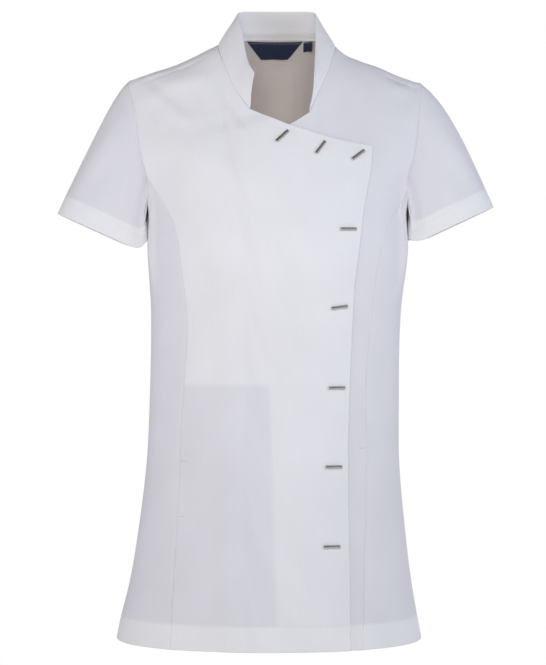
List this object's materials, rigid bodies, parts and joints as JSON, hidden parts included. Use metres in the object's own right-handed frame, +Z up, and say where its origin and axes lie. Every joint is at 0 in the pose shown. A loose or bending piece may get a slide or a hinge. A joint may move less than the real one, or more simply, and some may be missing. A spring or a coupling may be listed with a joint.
{
  "type": "beautician tunic",
  "caption": "Hollow, filled-out salon tunic with a stand collar, short sleeves, princess seams and a crossover front closed by polished bars.",
  "frame": {"origin": "between the shoulders, level with the side of the neck, where the wearer's shoulders carry the garment", "axes": "+X towards the wearer's left, -Y out of the front, +Z up"},
  "size_m": [0.5438, 0.261, 0.7844],
  "materials": {
    "cloth": "matt woven polyester",
    "label": "woven, navy",
    "steel": "polished"
  },
  "bodies": {
    "root": {"front_right": "cloth", "front_right_side": "cloth", "front_left": "cloth", "front_left_side": "cloth", "back_centre": "cloth", "back_right": "cloth", "back_left": "cloth", "collar": "cloth", "sleeve_right": "cloth", "sleeve_left": "cloth", "neck_label": "label", "size_label": "label", "bar_1": "steel", "bar_2": "steel", "bar_3": "steel", "bar_4": "steel", "bar_5": "steel", "bar_6": "steel", "bar_7": "steel", "bar_8": "steel"}
  },
  "joints": []
}
